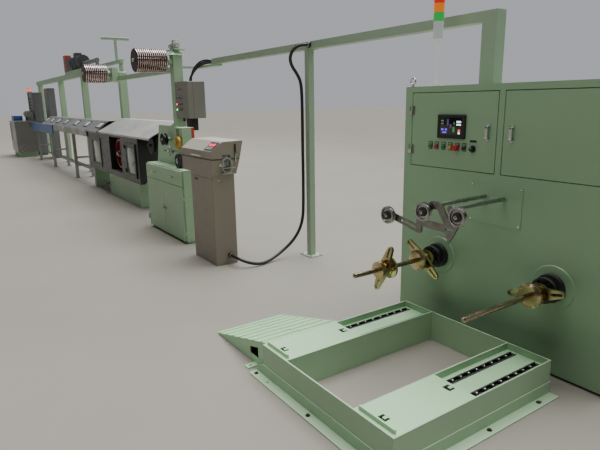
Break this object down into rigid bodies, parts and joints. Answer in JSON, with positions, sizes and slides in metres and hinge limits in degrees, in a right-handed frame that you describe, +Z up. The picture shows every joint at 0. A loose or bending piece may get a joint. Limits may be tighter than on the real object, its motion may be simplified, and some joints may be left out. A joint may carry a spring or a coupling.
{
  "type": "wire extrusion line",
  "caption": "Long wire extrusion line: head station, cooling trough, capstan, wire store, spark tester and a green two-reel take-up with loading platform",
  "frame": {"origin": "on the floor at the middle of the plant's length and depth", "axes": "+X runs along the line towards the take-up, +Y away from the operator, +Z up"},
  "size_m": [18.4, 2.28, 2.741],
  "materials": {
    "sage_paint": "satin",
    "mint_paint": "satin",
    "grey_paint": "satin",
    "dark_grey_paint": "satin",
    "taupe_paint": "satin",
    "green_paint": "satin",
    "red_paint": "satin",
    "blue_paint": "satin",
    "black_plastic": "matte",
    "coloured_plastic": "gloss",
    "chrome_fittings": "polished",
    "steel_bar": "brushed",
    "stainless_sheet": "brushed",
    "passivated_nut": "satin",
    "polished_roller": "polished",
    "hose_plastic": "matte"
  },
  "bodies": {
    "plant": {"takeup_housing": "sage_paint", "door_hinges": "chrome_fittings", "signal_tower": "coloured_plastic", "front_cover_panel": "sage_paint", "platform_frame": "mint_paint", "platform_decks": "mint_paint", "roller_beds": "black_plastic", "loading_ramp": "mint_paint", "cable_trunk": "grey_paint", "tester_pedestal": "taupe_paint", "tester_head": "taupe_paint", "electrode_guard": "chrome_fittings", "tool_cabinet": "green_paint", "wheel_stand": "green_paint", "store_post": "green_paint", "control_box": "taupe_paint", "gantry_frame": "mint_paint", "store_rail": "mint_paint", "gantry_units": "red_paint", "switch_cabinets": "dark_grey_paint", "machine_bases": "green_paint", "capstan_housing": "dark_grey_paint", "capstan_hood": "stainless_sheet", "trough_body": "stainless_sheet", "trough_lids": "stainless_sheet", "trough_legs": "stainless_sheet", "trough_panel": "blue_paint", "head_cabinet": "stainless_sheet", "tester_hose": "hose_plastic"},
    "door_left": {"takeup_door_left": "sage_paint", "door_pull_left": "chrome_fittings", "operator_screen": "black_plastic", "push_buttons": "coloured_plastic"},
    "door_right": {"takeup_door_right": "sage_paint", "door_pull_right": "chrome_fittings"},
    "spindle_left": {"left_spindle_shaft": "steel_bar", "left_drive_flange": "black_plastic"},
    "spindle_right": {"right_spindle_shaft": "steel_bar", "right_drive_flange": "black_plastic"},
    "nut_left_inner": {"left_inner_nut": "passivated_nut"},
    "nut_right_inner": {"right_inner_nut": "passivated_nut"},
    "nut_left_outer": {"left_outer_nut": "passivated_nut"},
    "traverse": {"traverse_rods": "sage_paint", "traverse_bracket": "steel_bar"},
    "guide_left": {"guide_pulley_left": "steel_bar"},
    "guide_middle": {"guide_pulley_middle": "steel_bar"},
    "guide_right": {"guide_pulley_right": "steel_bar"},
    "lid": {"tester_lid": "taupe_paint"},
    "drawer_left": {"tool_drawer_left": "green_paint"},
    "drawer_right": {"tool_drawer_right": "green_paint"},
    "cupboard_left": {"tool_door_left": "green_paint"},
    "cupboard_right": {"tool_door_right": "green_paint"},
    "pulley_on_stand": {"stand_pulley": "black_plastic"},
    "meter_wheel": {"measuring_wheel": "coloured_plastic"},
    "wheel_pressing": {"pressure_wheel": "black_plastic"},
    "roller_near": {"near_roller": "polished_roller"},
    "roller_far": {"far_roller": "polished_roller"},
    "window_door": {"capstan_door": "dark_grey_paint"},
    "wheel_capstan": {"capstan_wheel": "red_paint"},
    "pulleys_exit": {"exit_pulleys": "black_plastic"}
  },
  "joints": [
    {"name": "left_door_hinge", "type": "hinge", "parent": "plant", "child": "door_left", "pos_m": [7.7495, 0.2275, 1.342], "axis": [0, 0, -1], "range_deg": [0, 110]},
    {"name": "right_door_hinge", "type": "hinge", "parent": "plant", "child": "door_right", "pos_m": [9.1305, 0.2275, 1.342], "axis": [0, 0, 1], "range_deg": [0, 110]},
    {"name": "left_spindle_turn", "type": "hinge", "parent": "plant", "child": "spindle_left", "pos_m": [8.04, 0, 0.52], "axis": [0, -1, 0], "continuous": true},
    {"name": "right_spindle_turn", "type": "hinge", "parent": "plant", "child": "spindle_right", "pos_m": [8.84, 0, 0.52], "axis": [0, -1, 0], "continuous": true},
    {"name": "left_inner_nut_slide", "type": "slide", "parent": "spindle_left", "child": "nut_left_inner", "axis": [0, -1, 0], "range_m": [0, 0.1]},
    {"name": "left_outer_nut_slide", "type": "slide", "parent": "spindle_left", "child": "nut_left_outer", "axis": [0, -1, 0], "range_m": [-0.06, 0.12]},
    {"name": "right_inner_nut_slide", "type": "slide", "parent": "spindle_right", "child": "nut_right_inner", "axis": [0, -1, 0], "range_m": [0, 0.3]},
    {"name": "traverse_slide", "type": "slide", "parent": "plant", "child": "traverse", "axis": [0, 1, 0], "range_m": [-0.2, 0.15]},
    {"name": "left_guide_turn", "type": "hinge", "parent": "traverse", "child": "guide_left", "pos_m": [8.051, -0.259, 0.861], "axis": [0, -1, 0], "continuous": true},
    {"name": "middle_guide_turn", "type": "hinge", "parent": "traverse", "child": "guide_middle", "pos_m": [8.33, -0.259, 0.927], "axis": [0, -1, 0], "continuous": true},
    {"name": "right_guide_turn", "type": "hinge", "parent": "traverse", "child": "guide_right", "pos_m": [8.57, -0.259, 0.936], "axis": [0, -1, 0], "continuous": true},
    {"name": "tester_lid_hinge", "type": "hinge", "parent": "plant", "child": "lid", "pos_m": [5.51, -0.0975, 1.03], "axis": [-1, 0, 0], "range_deg": [0, 75]},
    {"name": "left_drawer_slide", "type": "slide", "parent": "plant", "child": "drawer_left", "axis": [0, -1, 0], "range_m": [0, 0.32]},
    {"name": "right_drawer_slide", "type": "slide", "parent": "plant", "child": "drawer_right", "axis": [0, -1, 0], "range_m": [0, 0.32]},
    {"name": "left_tool_door_hinge", "type": "hinge", "parent": "plant", "child": "cupboard_left", "pos_m": [3.735, -0.3375, 0.35], "axis": [0, 0, -1], "range_deg": [0, 100]},
    {"name": "right_tool_door_hinge", "type": "hinge", "parent": "plant", "child": "cupboard_right", "pos_m": [4.915, -0.3375, 0.35], "axis": [0, 0, 1], "range_deg": [0, 100]},
    {"name": "stand_pulley_turn", "type": "hinge", "parent": "plant", "child": "pulley_on_stand", "pos_m": [4.25, -0.25, 1.13], "axis": [0, -1, 0], "continuous": true},
    {"name": "measuring_wheel_turn", "type": "hinge", "parent": "plant", "child": "meter_wheel", "pos_m": [4.675, -0.25, 1.111], "axis": [0, -1, 0], "continuous": true},
    {"name": "pressure_wheel_turn", "type": "hinge", "parent": "plant", "child": "wheel_pressing", "pos_m": [4.66, -0.25, 0.908], "axis": [0, -1, 0], "continuous": true},
    {"name": "near_roller_turn", "type": "hinge", "parent": "plant", "child": "roller_near", "pos_m": [3.472, -0.08, 2.075], "axis": [0, -1, 0], "continuous": true},
    {"name": "far_roller_turn", "type": "hinge", "parent": "plant", "child": "roller_far", "pos_m": [0.925, -0.17, 2.04], "axis": [0, -1, 0], "continuous": true},
    {"name": "capstan_door_hinge", "type": "hinge", "parent": "plant", "child": "window_door", "pos_m": [2.084, -0.1165, 0.71], "axis": [0, 0, -1], "range_deg": [0, 110]},
    {"name": "capstan_wheel_turn", "type": "hinge", "parent": "plant", "child": "wheel_capstan", "pos_m": [1.475, 0.02, 0.75], "axis": [0, -1, 0], "continuous": true},
    {"name": "exit_pulleys_turn", "type": "hinge", "parent": "plant", "child": "pulleys_exit", "pos_m": [3.025, 0.08, 0.975], "axis": [0, -1, 0], "continuous": true}
  ]
}
